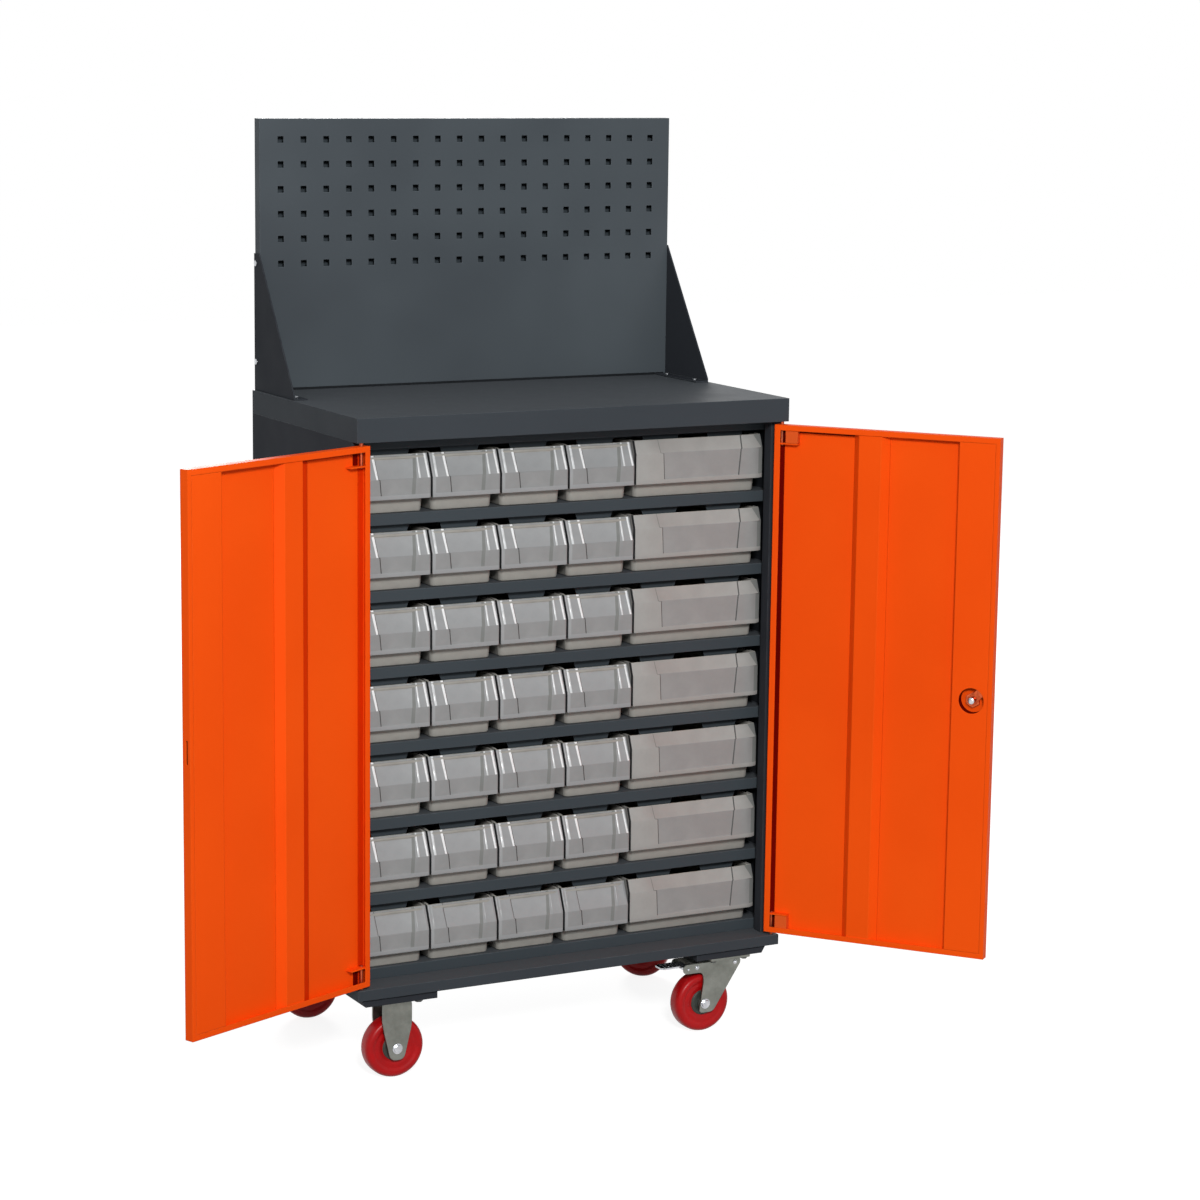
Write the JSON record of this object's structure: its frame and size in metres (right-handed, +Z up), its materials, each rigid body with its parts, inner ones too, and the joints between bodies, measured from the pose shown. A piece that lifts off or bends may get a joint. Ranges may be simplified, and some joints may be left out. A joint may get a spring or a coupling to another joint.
{
  "type": "parts cabinet",
  "caption": "Mobile parts cabinet with open-top slide-out bins behind two hinged doors, a worktop with a raised perforated panel, and casters.",
  "frame": {"origin": "on the floor under the middle of the worktop", "axes": "+Z up; the doors and bins face -Y; +X is to the right, seen from the front"},
  "size_m": [1.2635, 0.684, 1.428],
  "materials": {
    "slate_paint": "satin",
    "orange_paint": "gloss",
    "zinc": "satin",
    "lock_metal": "polished",
    "wheel_red": "gloss",
    "bin_plastic": "matte"
  },
  "bodies": {
    "cabinet": {"carcass_panels": "slate_paint", "base_pan": "slate_paint", "shelves": "slate_paint", "worktop": "slate_paint", "pegboard": "slate_paint", "pegboard_back": "slate_paint", "gussets": "slate_paint", "screws": "zinc", "caster_channels": "slate_paint", "caster_brackets": "zinc"},
    "left_door": {"door_left": "orange_paint", "door_left_stiffeners": "orange_paint", "door_left_pins": "zinc"},
    "right_door": {"door_right": "orange_paint", "door_right_stiffeners": "orange_paint", "door_right_pins": "zinc", "lock_cylinder": "lock_metal"},
    "lock_cam": {"lock_cam": "lock_metal"},
    "front_left_wheel": {"wheel_front_left": "wheel_red"},
    "rear_left_wheel": {"wheel_rear_left": "wheel_red"},
    "front_swivel": {"swivel_fork_front": "zinc"},
    "rear_swivel": {"swivel_fork_rear": "zinc"},
    "front_right_wheel": {"wheel_front_right": "wheel_red"},
    "rear_right_wheel": {"wheel_rear_right": "wheel_red"},
    "brake_pedal": {"brake_pedal": "zinc"},
    "drawer_1_1": {"bin_1_1": "bin_plastic"},
    "drawer_1_2": {"bin_1_2": "bin_plastic"},
    "drawer_1_3": {"bin_1_3": "bin_plastic"},
    "drawer_1_4": {"bin_1_4": "bin_plastic"},
    "drawer_1_5": {"bin_1_5": "bin_plastic"},
    "drawer_2_1": {"bin_2_1": "bin_plastic"},
    "drawer_2_2": {"bin_2_2": "bin_plastic"},
    "drawer_2_3": {"bin_2_3": "bin_plastic"},
    "drawer_2_4": {"bin_2_4": "bin_plastic"},
    "drawer_2_5": {"bin_2_5": "bin_plastic"},
    "drawer_3_1": {"bin_3_1": "bin_plastic"},
    "drawer_3_2": {"bin_3_2": "bin_plastic"},
    "drawer_3_3": {"bin_3_3": "bin_plastic"},
    "drawer_3_4": {"bin_3_4": "bin_plastic"},
    "drawer_3_5": {"bin_3_5": "bin_plastic"},
    "drawer_4_1": {"bin_4_1": "bin_plastic"},
    "drawer_4_2": {"bin_4_2": "bin_plastic"},
    "drawer_4_3": {"bin_4_3": "bin_plastic"},
    "drawer_4_4": {"bin_4_4": "bin_plastic"},
    "drawer_4_5": {"bin_4_5": "bin_plastic"},
    "drawer_5_1": {"bin_5_1": "bin_plastic"},
    "drawer_5_2": {"bin_5_2": "bin_plastic"},
    "drawer_5_3": {"bin_5_3": "bin_plastic"},
    "drawer_5_4": {"bin_5_4": "bin_plastic"},
    "drawer_5_5": {"bin_5_5": "bin_plastic"},
    "drawer_6_1": {"bin_6_1": "bin_plastic"},
    "drawer_6_2": {"bin_6_2": "bin_plastic"},
    "drawer_6_3": {"bin_6_3": "bin_plastic"},
    "drawer_6_4": {"bin_6_4": "bin_plastic"},
    "drawer_6_5": {"bin_6_5": "bin_plastic"},
    "drawer_7_1": {"bin_7_1": "bin_plastic"},
    "drawer_7_2": {"bin_7_2": "bin_plastic"},
    "drawer_7_3": {"bin_7_3": "bin_plastic"},
    "drawer_7_4": {"bin_7_4": "bin_plastic"},
    "drawer_7_5": {"bin_7_5": "bin_plastic"}
  },
  "joints": [
    {"name": "left_door_hinge", "type": "hinge", "parent": "cabinet", "child": "left_door", "pos_m": [-0.3553, -0.1977, 0.5635], "axis": [0, 0, -1], "range_deg": [-157, 23]},
    {"name": "right_door_hinge", "type": "hinge", "parent": "cabinet", "child": "right_door", "pos_m": [0.3553, -0.1977, 0.5635], "axis": [0, 0, 1], "range_deg": [-128.5, 51.5]},
    {"name": "lock_cam_turn", "type": "hinge", "parent": "right_door", "child": "lock_cam", "pos_m": [0.55297, -0.45102, 0.5635], "axis": [0.7826, 0.6225, 0], "range_deg": [-45, 45]},
    {"name": "front_left_wheel_spin", "type": "hinge", "parent": "cabinet", "child": "front_left_wheel", "pos_m": [-0.29, -0.164, 0.0475], "axis": [0, 1, 0], "continuous": true},
    {"name": "front_swivel_turn", "type": "hinge", "parent": "cabinet", "child": "front_swivel", "pos_m": [0.281, -0.164, 0.11], "axis": [0, 0, 1], "continuous": true},
    {"name": "front_right_wheel_spin", "type": "hinge", "parent": "front_swivel", "child": "front_right_wheel", "pos_m": [0.245, -0.164, 0.0475], "axis": [0, 1, 0], "continuous": true},
    {"name": "rear_left_wheel_spin", "type": "hinge", "parent": "cabinet", "child": "rear_left_wheel", "pos_m": [-0.29, 0.164, 0.0475], "axis": [0, 1, 0], "continuous": true},
    {"name": "rear_swivel_turn", "type": "hinge", "parent": "cabinet", "child": "rear_swivel", "pos_m": [0.281, 0.164, 0.11], "axis": [0, 0, 1], "continuous": true},
    {"name": "rear_right_wheel_spin", "type": "hinge", "parent": "rear_swivel", "child": "rear_right_wheel", "pos_m": [0.30646, 0.13854, 0.0475], "axis": [-0.7071, -0.7071, 0], "continuous": true},
    {"name": "brake_pedal_tilt", "type": "hinge", "parent": "front_swivel", "child": "brake_pedal", "pos_m": [0.213, -0.164, 0.1072], "axis": [0, -1, 0], "range_deg": [0, 15]},
    {"name": "drawer_1_1_slide", "type": "slide", "parent": "cabinet", "child": "drawer_1_1", "axis": [0, -1, 0], "range_m": [0, 0.25]},
    {"name": "drawer_1_2_slide", "type": "slide", "parent": "cabinet", "child": "drawer_1_2", "axis": [0, -1, 0], "range_m": [0, 0.25]},
    {"name": "drawer_1_3_slide", "type": "slide", "parent": "cabinet", "child": "drawer_1_3", "axis": [0, -1, 0], "range_m": [0, 0.25]},
    {"name": "drawer_1_4_slide", "type": "slide", "parent": "cabinet", "child": "drawer_1_4", "axis": [0, -1, 0], "range_m": [0, 0.25]},
    {"name": "drawer_1_5_slide", "type": "slide", "parent": "cabinet", "child": "drawer_1_5", "axis": [0, -1, 0], "range_m": [0, 0.25]},
    {"name": "drawer_2_1_slide", "type": "slide", "parent": "cabinet", "child": "drawer_2_1", "axis": [0, -1, 0], "range_m": [0, 0.25]},
    {"name": "drawer_2_2_slide", "type": "slide", "parent": "cabinet", "child": "drawer_2_2", "axis": [0, -1, 0], "range_m": [0, 0.25]},
    {"name": "drawer_2_3_slide", "type": "slide", "parent": "cabinet", "child": "drawer_2_3", "axis": [0, -1, 0], "range_m": [0, 0.25]},
    {"name": "drawer_2_4_slide", "type": "slide", "parent": "cabinet", "child": "drawer_2_4", "axis": [0, -1, 0], "range_m": [0, 0.25]},
    {"name": "drawer_2_5_slide", "type": "slide", "parent": "cabinet", "child": "drawer_2_5", "axis": [0, -1, 0], "range_m": [0, 0.25]},
    {"name": "drawer_3_1_slide", "type": "slide", "parent": "cabinet", "child": "drawer_3_1", "axis": [0, -1, 0], "range_m": [0, 0.25]},
    {"name": "drawer_3_2_slide", "type": "slide", "parent": "cabinet", "child": "drawer_3_2", "axis": [0, -1, 0], "range_m": [0, 0.25]},
    {"name": "drawer_3_3_slide", "type": "slide", "parent": "cabinet", "child": "drawer_3_3", "axis": [0, -1, 0], "range_m": [0, 0.25]},
    {"name": "drawer_3_4_slide", "type": "slide", "parent": "cabinet", "child": "drawer_3_4", "axis": [0, -1, 0], "range_m": [0, 0.25]},
    {"name": "drawer_3_5_slide", "type": "slide", "parent": "cabinet", "child": "drawer_3_5", "axis": [0, -1, 0], "range_m": [0, 0.25]},
    {"name": "drawer_4_1_slide", "type": "slide", "parent": "cabinet", "child": "drawer_4_1", "axis": [0, -1, 0], "range_m": [0, 0.25]},
    {"name": "drawer_4_2_slide", "type": "slide", "parent": "cabinet", "child": "drawer_4_2", "axis": [0, -1, 0], "range_m": [0, 0.25]},
    {"name": "drawer_4_3_slide", "type": "slide", "parent": "cabinet", "child": "drawer_4_3", "axis": [0, -1, 0], "range_m": [0, 0.25]},
    {"name": "drawer_4_4_slide", "type": "slide", "parent": "cabinet", "child": "drawer_4_4", "axis": [0, -1, 0], "range_m": [0, 0.25]},
    {"name": "drawer_4_5_slide", "type": "slide", "parent": "cabinet", "child": "drawer_4_5", "axis": [0, -1, 0], "range_m": [0, 0.25]},
    {"name": "drawer_5_1_slide", "type": "slide", "parent": "cabinet", "child": "drawer_5_1", "axis": [0, -1, 0], "range_m": [0, 0.25]},
    {"name": "drawer_5_2_slide", "type": "slide", "parent": "cabinet", "child": "drawer_5_2", "axis": [0, -1, 0], "range_m": [0, 0.25]},
    {"name": "drawer_5_3_slide", "type": "slide", "parent": "cabinet", "child": "drawer_5_3", "axis": [0, -1, 0], "range_m": [0, 0.25]},
    {"name": "drawer_5_4_slide", "type": "slide", "parent": "cabinet", "child": "drawer_5_4", "axis": [0, -1, 0], "range_m": [0, 0.25]},
    {"name": "drawer_5_5_slide", "type": "slide", "parent": "cabinet", "child": "drawer_5_5", "axis": [0, -1, 0], "range_m": [0, 0.25]},
    {"name": "drawer_6_1_slide", "type": "slide", "parent": "cabinet", "child": "drawer_6_1", "axis": [0, -1, 0], "range_m": [0, 0.25]},
    {"name": "drawer_6_2_slide", "type": "slide", "parent": "cabinet", "child": "drawer_6_2", "axis": [0, -1, 0], "range_m": [0, 0.25]},
    {"name": "drawer_6_3_slide", "type": "slide", "parent": "cabinet", "child": "drawer_6_3", "axis": [0, -1, 0], "range_m": [0, 0.25]},
    {"name": "drawer_6_4_slide", "type": "slide", "parent": "cabinet", "child": "drawer_6_4", "axis": [0, -1, 0], "range_m": [0, 0.25]},
    {"name": "drawer_6_5_slide", "type": "slide", "parent": "cabinet", "child": "drawer_6_5", "axis": [0, -1, 0], "range_m": [0, 0.25]},
    {"name": "drawer_7_1_slide", "type": "slide", "parent": "cabinet", "child": "drawer_7_1", "axis": [0, -1, 0], "range_m": [0, 0.25]},
    {"name": "drawer_7_2_slide", "type": "slide", "parent": "cabinet", "child": "drawer_7_2", "axis": [0, -1, 0], "range_m": [0, 0.25]},
    {"name": "drawer_7_3_slide", "type": "slide", "parent": "cabinet", "child": "drawer_7_3", "axis": [0, -1, 0], "range_m": [0, 0.25]},
    {"name": "drawer_7_4_slide", "type": "slide", "parent": "cabinet", "child": "drawer_7_4", "axis": [0, -1, 0], "range_m": [0, 0.25]},
    {"name": "drawer_7_5_slide", "type": "slide", "parent": "cabinet", "child": "drawer_7_5", "axis": [0, -1, 0], "range_m": [0, 0.25]}
  ]
}
